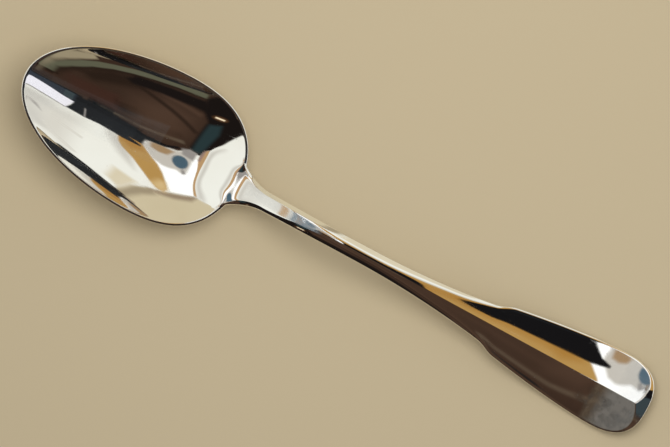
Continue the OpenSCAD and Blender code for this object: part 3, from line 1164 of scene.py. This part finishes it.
class Tone(Enum):
    """Tones of the cards and of the pale surroundings, as a screen shows them in the silver."""

    PALE = (240, 240, 230)
    SHADE = (206, 203, 193)
    HAZE = (218, 215, 204)
    WHITE = (255, 255, 252)
    CREAM = (218, 207, 179)
    OAT = (205, 192, 160)
    OAT_SHADE = (162, 148, 122)
    UMBER = (150, 132, 110)
    STRAW = (212, 184, 132)
    GOLD = (182, 144, 83)
    HONEY = (170, 125, 60)
    BRASS = (185, 150, 108)
    MAUVE = (150, 125, 115)
    PEARL = (198, 193, 183)
    ASH = (150, 145, 140)
    TAN = (162, 134, 100)
    SLATE = (74, 97, 111)
    COOL = (132, 142, 148)
    DUSK = (56, 66, 69)
    SMOKE = (110, 106, 100)
    BROWN = (57, 42, 33)
    CHESTNUT = (76, 57, 45)
    MAROON = (62, 41, 33)
    COFFEE = (42, 31, 24)
    PITCH = (26, 21, 19)
    TEAL = (40, 55, 57)
    MOSS = (92, 92, 74)
    SAND = (152, 140, 114)
    INK = (22, 21, 22)
    STEEL = (45, 50, 58)
    CHALK = (242, 240, 246)
    EMBER = (95, 65, 40)
    GLOW = (255, 235, 200)


def disc(x: float, y: float, across: float, up: float, corners: int = 24) -> tuple[tuple[float, float], ...]:
    """Corners of a round card: its middle and its two radii, in degrees."""
    turns = [math.radians(360 / corners * k) for k in range(corners)]
    return tuple((x + across * math.cos(a), y + up * math.sin(a)) for a in turns)


@dataclass(frozen=True)
class Card:
    """One reflector card, seen only in reflections.

    Corners are in degrees from straight overhead: +X to the right, +Y up. A card hangs on the dome, or level at
    its height, or upright across the spoon at its stand, and is clear from behind.
    """

    tone: Tone
    corners: tuple[tuple[float, float], ...]
    feather: float = 2.0
    strength: float = 1.0
    height: float | None = None
    stand: float | None = None
    seen_from: Triple = (0.05, 0.0, 0.008)

    def inside(self, points: np.ndarray) -> np.ndarray:
        """Measure how far places lie in from the card's edge.

        Args:
            points: Places in degrees from straight overhead.

        Returns:
            Distance of each place from the edge in degrees, negative outside it.
        """
        a = np.array(self.corners, float)
        b = np.roll(a, -1, axis=0)
        side = b - a
        way = points[..., None, :] - a
        share = np.clip((way * side).sum(-1) / (side * side).sum(-1), 0.0, 1.0)
        near = np.linalg.norm(way - share[..., None] * side, axis=-1).min(-1)
        x, y = points[..., None, 0], points[..., None, 1]
        rise = np.where(side[:, 1] == 0.0, TINY, side[:, 1])
        crossed = ((a[:, 1] > y) != (b[:, 1] > y)) & (x < a[:, 0] + side[:, 0] * (y - a[:, 1]) / rise)
        return np.where(crossed.sum(-1) % 2 == 1, near, -near)

    def finish(self, silver: SilverFinish) -> bpy.types.Material:
        """Make the card's glowing face, clear past its feathered edge and from behind.

        Args:
            silver: Finish that the card is seen in.

        Returns:
            The card's material.
        """
        mat = bpy.data.materials.new(f"card {self.tone.name.lower()}")
        mat.use_nodes = True
        mat.cycles.emission_sampling = "NONE"
        tree = mat.node_tree
        tree.nodes.clear()
        glow = wire(tree, "ShaderNodeEmission",
                    {"Color": silver.before(self.tone.value), "Strength": self.strength})
        clear = wire(tree, "ShaderNodeBsdfTransparent")
        depth = wire(tree, "ShaderNodeAttribute", attribute_name="inside")
        edge = {"From Min": -self.feather / 2, "From Max": self.feather / 2, "Value": depth.outputs["Fac"]}
        cover = wire(tree, "ShaderNodeMapRange", edge, interpolation_type="SMOOTHSTEP")
        turned = wire(tree, "ShaderNodeNewGeometry")
        faced = wire(tree, "ShaderNodeMath", {0: cover.outputs["Result"], 1: turned.outputs["Backfacing"]},
                     operation="SUBTRACT", use_clamp=True)
        both = wire(tree, "ShaderNodeMixShader",
                    {"Fac": faced.outputs[0], 1: clear.outputs[0], 2: glow.outputs[0]})
        wire(tree, "ShaderNodeOutputMaterial", {"Surface": both.outputs[0]})
        return mat


HOLLOW = (-0.058, 0.0, 0.006)
RISE = (-0.0175, 0.0, 0.0125)
END = (0.095, 0.0, 0.008)

CARDS: tuple[Card, ...] = (
    # Warm cards at the upper left, with a shaded edge
    Card(Tone.OAT, ((-36, 32), (-14.7, 45), (-6, 51), (0, 55.6), (8.8, 66), (14.2, 80), (16, 91), (-25, 90),
                    (-50, 76), (-75, 50), (-88, 20), (-70, 22), (-52, 28))),
    Card(Tone.OAT_SHADE, ((-2, 54), (0.5, 55.6), (9.5, 66), (14.6, 80), (16, 88), (11, 88), (7, 77), (2, 67),
                          (-6, 57)), 5.0),
    Card(Tone.CREAM, ((6, 57), (19, 56), (21, 74), (14, 80)), 6.0),
    Card(Tone.UMBER, ((-37, 31.5), (-33, 32.5), (-14.7, 45), (-6, 51), (0, 56), (-6, 55), (-18, 48.5),
                      (-33, 38.5)), 5.0),
    # Faint shading on the pale surroundings
    Card(Tone.HAZE, ((46, 22), (70, 20), (68, 45), (58, 64), (44, 74), (46, 50)), 18.0),
    Card(Tone.SHADE, ((61, 20), (72, 20), (70, 45), (60, 65), (55, 62), (63, 42)), 8.0),
    Card(Tone.SHADE, ((10, 44), (13, 31), (22, 14), (32, 16), (28, 24), (20, 36)), 9.0),
    Card(Tone.HAZE, ((38, 70), (52, 62), (58, 52), (60, 53), (54, 64), (40, 72)), 3.0),
    Card(Tone.HAZE, ((40, 46.5), (58, 43), (58, 40.5), (40, 44)), 2.0),
    Card(Tone.ASH, ((61.5, 42), (64.5, 37), (66, 32), (64, 35)), 1.5),
    Card(Tone.SHADE, ((-37, 30), (-35, 4), (-32, -18), (-39, -24), (-44, 0), (-44, 30)), 9.0),
    # White card overhead, with gold sides and pearl, tan and slate cards below it
    Card(Tone.WHITE, ((-33, 32), (-14.7, 43), (-10, 35.6), (-5, 27.5), (0, 22), (3, 20), (11, 10.6), (10, 1),
                      (0, -1), (-20, -2), (-22.5, -4.4), (-24.4, -4.4), (-27.5, 7), (-30, 22.5)), 1.2, 1.1),
    Card(Tone.BRASS, ((-33, 31), (-30, 19), (-27.5, 6), (-24.4, -3), (-23.8, -7.5), (-23.8, -17), (-29.4, -20),
                      (-31, -12), (-31.5, 4), (-34.4, 22.5), (-36, 31)), 1.4),
    Card(Tone.MAUVE, ((-26, -4), (-23.8, -4), (-23.6, -17), (-26, -18)), 2.5),
    Card(Tone.GOLD, ((-10, 48), (-5, 49), (1, 45), (7.5, 38), (12.5, 32), (19.5, 26.5), (22.5, 22), (23.5, 16),
                     (23, 12), (20, 9), (11, 9.6), (7.5, 14.4), (3, 19.4), (-1, 23), (-5.6, 29.4), (-9.4, 37),
                     (-12, 43)), 2.2),
    Card(Tone.STRAW, ((-12, 43), (-10, 48), (-5, 49), (-1, 46), (-5, 38), (-9.4, 37)), 7.0),
    Card(Tone.HONEY, ((11, 9.6), (20, 9), (23, 12), (22, 18), (16, 22), (9, 18)), 7.0),
    Card(Tone.PEARL, ((-20, -2), (-20, 14), (-16, 18), (-12, 17), (-7.5, 19.5), (-3, 21), (3, 19.5), (8, 14),
                      (11, 10.6), (10, 2), (0, -1), (-8, -3), (-14, -10.5), (-20, -10)), 3.0, height=0.84,
         seen_from=HOLLOW),
    Card(Tone.ASH, ((-20, 16), (-17, 18.5), (-15, 14), (-17, 13)), 2.0, height=0.83, seen_from=HOLLOW),
    Card(Tone.TAN, ((-6, 0), (5, 0.5), (8, 3), (7, 8), (2, 9), (-3, 7)), 3.0, height=0.82, seen_from=HOLLOW),
    Card(Tone.ASH, ((-20, -1), (-11, -2), (-9, -8), (-14, -10.5), (-20, -10)), 3.0, height=0.81,
         seen_from=HOLLOW),
    Card(Tone.SLATE, disc(-12.2, 6.9, 5.9, 6.9), 2.2, height=0.53, seen_from=HOLLOW),
    # Brown and black cards over the lower half
    Card(Tone.BROWN, ((-24, -17), (-23.6, -10), (-20, -9), (-14, -9), (-8, -3), (0, 0), (10, 3), (20, 0),
                      (45, -1), (70, -1), (80, -20), (78, -50), (60, -78), (30, -92), (-5, -92), (-50, -70),
                      (-40, -47), (-36, -37), (-33, -27.5), (-30, -20.6)), 1.5),
    Card(Tone.UMBER, ((-10, -14), (16, -7), (42, -6.5), (42, -8.5), (16, -9.5), (-8, -17)), 3.0, 0.4),
    Card(Tone.COFFEE, ((-6, -20), (16, -10.5), (44, -10), (44, -13.5), (16, -17), (-4, -25)), 4.0),
    Card(Tone.COFFEE, ((-4, -34), (14, -21), (44, -19), (44, -23), (16, -26), (0, -38)), 4.0),
    Card(Tone.CHESTNUT, ((2, -12), (22, -9), (24, -40), (10, -55), (-6, -48), (-8, -25)), 26.0),
    Card(Tone.COFFEE, ((-12, -30), (8, -44), (30, -58), (28, -61), (6, -47), (-13, -33)), 4.0),
    Card(Tone.CHESTNUT, ((-8, -52), (20, -62), (44, -52), (44, -55), (20, -66), (-8, -57)), 5.0),
    Card(Tone.MAROON, ((30, -12), (60, -10), (60, -28), (34, -32)), 10.0),
    Card(Tone.COFFEE, ((25, -55), (50, -35), (58, -40), (45, -60), (28, -68)), 10.0),
    Card(Tone.PITCH, ((-30, -20.6), (-24, -17), (-20, -12), (-14, -12), (-14, -50), (-8, -60), (-2, -80),
                      (-6, -92), (-50, -75), (-40, -47), (-36, -37), (-33, -27.5)), 4.0),
    Card(Tone.TEAL, ((-23, -11), (-16, -11), (-16, -48), (-24, -52), (-27, -40), (-25, -22)), 5.0),
    Card(Tone.EMBER, disc(-19, -60, 5.5, 2.6), 4.0),
    Card(Tone.GLOW, ((-22.5, -59), (-15.5, -59), (-15.5, -60.8), (-22.5, -60.8)), 1.4),
    Card(Tone.COFFEE, ((-2, -78), (12, -77), (22, -73), (32, -68), (42, -60), (52, -49), (60, -34), (64, -20),
                       (66, -24), (62, -42), (52, -58), (42, -68), (32, -76), (22, -81), (12, -84),
                       (-2, -84)), 4.0),
    Card(Tone.PITCH, ((-14, -60), (0, -62), (16, -61), (30, -57), (34, -61), (30, -71), (14, -75),
                      (-4, -76)), 5.0),
    Card(Tone.MOSS, ((-2, -80), (12, -80), (22, -77), (32, -72), (42, -65), (52, -54), (60, -40), (64, -30),
                     (65, -20), (67, -20), (66, -32), (62, -45), (57, -56), (50, -66), (42, -73), (32, -80),
                     (22, -85), (10, -88), (-1, -87)), 2.0),
    Card(Tone.SAND, ((50, -70), (57, -58), (62, -47), (65, -37), (67, -22), (68, -10), (72, -10), (70, -38),
                     (64, -56), (58, -68), (52, -76)), 2.5),
    # Black cards at the right, with a chalk card at their end
    Card(Tone.INK, ((-9, -7.5), (-4, -3), (0, 0), (11, 3.5), (11, -1), (0, -3), (-6, -7.5)), 1.5, height=0.78,
         seen_from=HOLLOW),
    Card(Tone.INK, ((10.5, 10.8), (22.5, 10.8), (26, 13), (34.5, 15.3), (45, 17.5), (56, 17.5), (54.5, 12),
                    (53.6, 5.5), (60, 4.8), (67.4, 1.8), (70, -4), (45, -5), (20, -4), (11, -1)), 1.4),
    Card(Tone.STEEL, ((54, 5), (60, 4.5), (68, 1.5), (70, -4), (54, -5)), 3.0),
    Card(Tone.ASH, ((44.5, 17), (45.5, 17), (47.3, 6), (46.3, 6)), 1.0),
    Card(Tone.CHALK, ((56, 17.5), (53.6, 5.5), (60, 4.8), (67.4, 1.8), (72, 1.5), (72, 15), (67.4, 15.3)), 1.2),
    Card(Tone.ASH, ((55.5, 18.5), (67.4, 16.8), (72, 16.4), (72, 15.2), (67.4, 15.6), (56, 17.3)), 1.0),
    # Low black card at the top
    Card(Tone.UMBER, ((5.5, 85), (10.5, 84.6), (12, 92), (4, 92)), 2.0),
    Card(Tone.INK, ((10.2, 84.3), (20, 82), (30, 78.7), (39.7, 76.4), (47, 74.5), (48.5, 76), (46.5, 81),
                    (43, 85.5), (38, 85.5), (30, 85.5), (20, 86.5), (12, 87.5)), 2.0),
    # Flags close to the handle: over its end and behind the rise of the stem
    Card(Tone.INK, ((12, 4), (25, 4), (26, 16.5), (9, 16.5), (-1, 14.5), (-1, 13), (6, 11), (9, 8)), 1.5,
         height=0.5),
    Card(Tone.UMBER, ((-34, -1), (-3, -1), (-3, -30), (-34, -30)), 4.0, 0.33, stand=0.058, seen_from=END),
    Card(Tone.SMOKE, ((-34, -2), (-12, -2), (-12, -30), (-34, -30)), 8.0, stand=0.06, seen_from=END),
    Card(Tone.DUSK, ((4, -7), (17, -7), (17, 7), (4, 7)), 2.0, height=0.145, seen_from=(0.1, 0.0, 0.012)),
    Card(Tone.BRASS, ((-44, -25), (-34, -25), (-34, 25), (-44, 25)), 6.0, stand=-0.03, seen_from=RISE),
    Card(Tone.COOL, ((-30, -25), (-4, -25), (-4, 25), (-30, 25)), 7.0, stand=-0.03, seen_from=RISE),
)


@dataclass
class Studio:
    """Floor, lamp, reflector cards, surroundings and camera.

    Lengths are in metres, and a card's cell is in degrees.
    """

    floor_rgb: Rgb = (200, 185, 154)
    floor_half: float = 3.0
    floor_drop: float = 0.0002
    floor_rough: float = 0.9
    floor_shine: float = 0.2
    light_colour: Triple = (1.0, 0.985, 0.96)
    key_height: float = 0.47
    key_lean: tuple[float, float] = (-0.04, 0.28)
    key_size: float = 0.4
    key_watts: float = 1.3
    fill: float = 0.47
    dome: float = 10.0
    dome_step: float = 0.05
    card_cell: float = 1.5
    view_centre: tuple[float, float] = (-0.00286, 0.0041)
    view_turn_deg: float = 28.6
    view_width: float = 0.1943
    view_plane: float = 0.009
    view_distance: float = 6.0
    view_end: float = 50.0
    sensor_mm: float = 36.0

    def lay_floor(self) -> None:
        """Lay the plain pale floor."""
        mat = bpy.data.materials.new("pale floor")
        mat.use_nodes = True
        shader = mat.node_tree.nodes["Principled BSDF"].inputs
        shader["Base Color"].default_value = linear(self.floor_rgb)
        shader["Roughness"].default_value = self.floor_rough
        shader["Specular IOR Level"].default_value = self.floor_shine
        mesh = bpy.data.meshes.new("floor")
        r, z = self.floor_half, -self.floor_drop
        mesh.from_pydata([(-r, -r, z), (r, -r, z), (r, r, z), (-r, r, z)], [], [(0, 1, 2, 3)])
        mesh.materials.append(mat)
        floor = bpy.data.objects.new("floor", mesh)
        bpy.context.scene.collection.objects.link(floor)

    def place_card(self, index: int, card: Card, silver: SilverFinish) -> None:
        """Hang one reflector card as a fine sheet, which follows the dome.

        Args:
            index: Place in the order of cards; later ones hang in front.
            card: The card.
            silver: Finish that the card is seen in.
        """
        corners = np.array(card.corners, float)
        low, high = corners.min(axis=0) - card.feather, corners.max(axis=0) + card.feather
        cell = min(self.card_cell, card.feather / 2)
        across, up = (np.linspace(a, b, int((b - a) / cell) + 2) for a, b in zip(low, high))
        places = np.stack(np.meshgrid(across, up, indexing="ij"), -1)
        inside = card.inside(places)
        rows, cols = inside.shape
        faces = []
        for i in range(rows - 1):
            for j in range(cols - 1):
                if inside[i:i + 2, j:j + 2].max() > -card.feather:
                    k = i * cols + j
                    faces.append((k, k + 1, k + cols + 1, k + cols))
        mesh = bpy.data.meshes.new(f"card_{index:02d}")
        mesh.from_pydata([self.hang(p, index, card) for p in places.reshape(-1, 2)], [], faces)
        layer = mesh.attributes.new("inside", "FLOAT", "POINT")
        layer.data.foreach_set("value", inside.ravel().astype(np.float32))
        mesh.materials.append(card.finish(silver))
        piece = bpy.data.objects.new(mesh.name, mesh)
        for ray in ("camera", "diffuse", "transmission", "volume_scatter", "shadow"):
            setattr(piece, f"visible_{ray}", False)
        bpy.context.scene.collection.objects.link(piece)

    def hang(self, place: np.ndarray, index: int, card: Card) -> Triple:
        """Find where a place on a card hangs.

        Args:
            place: Degrees from straight overhead.
            index: Place in the order of cards.
            card: The card.

        Returns:
            Point in metres.
        """
        off = math.radians(float(np.hypot(*place)))
        way = math.atan2(place[1], place[0])
        line = np.array([math.sin(off) * math.cos(way), math.sin(off) * math.sin(way), math.cos(off)])
        eye = np.array(card.seen_from)
        if card.height is not None:
            return tuple(eye + line * (card.height - eye[2]) / line[2])
        if card.stand is not None:
            return tuple(eye + line * (card.stand - eye[0]) / line[0])
        return tuple(line * (self.dome - self.dome_step * index))

    def light(self, silver: SilverFinish) -> None:
        """Hang the soft key lamp and set the pale surroundings.

        Args:
            silver: Finish that the surroundings are seen in.
        """
        lamp = bpy.data.lights.new("key", "AREA")
        lamp.shape = "DISK"
        lamp.size = self.key_size
        lamp.energy = self.key_watts
        lamp.color = self.light_colour
        key = bpy.data.objects.new("key", lamp)
        key.location = (self.key_lean[0] * self.key_height, self.key_lean[1] * self.key_height, self.key_height)
        key.visible_glossy = False
        bpy.context.scene.collection.objects.link(key)
        world = bpy.data.worlds.new("surroundings")
        bpy.context.scene.world = world
        world.use_nodes = True
        tree = world.node_tree
        tree.nodes.clear()
        path = wire(tree, "ShaderNodeLightPath").outputs
        seen = Field(tree, path["Is Camera Ray"])
        for ray in ("Is Glossy Ray", "Is Transmission Ray"):
            seen = seen.most(Field(tree, path[ray]))
        soft = wire(tree, "ShaderNodeBackground", {"Color": (*self.light_colour, 1.0), "Strength": self.fill})
        pale = wire(tree, "ShaderNodeBackground", {"Color": silver.before(Tone.PALE.value)})
        both = wire(tree, "ShaderNodeMixShader", {"Fac": seen, 1: soft.outputs[0], 2: pale.outputs[0]})
        wire(tree, "ShaderNodeOutputWorld", {"Surface": both.outputs[0]})

    def set_camera(self) -> None:
        """Set the camera straight above the spoon."""
        lens = bpy.data.cameras.new("camera")
        lens.sensor_width = self.sensor_mm
        lens.lens = self.sensor_mm * self.view_distance / self.view_width
        lens.clip_end = self.view_end
        camera = bpy.data.objects.new("camera", lens)
        camera.location = (*self.view_centre, self.view_plane + self.view_distance)
        camera.rotation_euler = (0.0, 0.0, math.radians(self.view_turn_deg))
        bpy.context.scene.collection.objects.link(camera)
        bpy.context.scene.camera = camera

    def set_up(self, silver: SilverFinish) -> None:
        """Set up everything round the spoon.

        Args:
            silver: Finish that the cards and the surroundings are seen in.
        """
        bpy.context.scene.view_settings.view_transform = "Standard"
        self.set_camera()
        self.lay_floor()
        self.light(silver)
        for index, card in enumerate(CARDS):
            self.place_card(index, card, silver)


def main() -> None:
    """Build the spoon's pieces in order, then the studio round them."""
    logging.basicConfig(level=logging.INFO, format="%(name)s: %(message)s")
    form = SpoonForm()
    press = Press(form)
    silver = SilverFinish()
    plate = silver.material()
    handle = Handle(form=form)
    for part in (Bowl(form=form, neck_lines=handle.neck_lines()), handle):
        piece = part.build(press, plate)
        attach(piece, "root")
        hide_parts(part.node)
        log.info("%s: %d faces", piece.name, len(piece.data.polygons))
    Studio().set_up(silver)


if __name__ == "__main__":
    main()
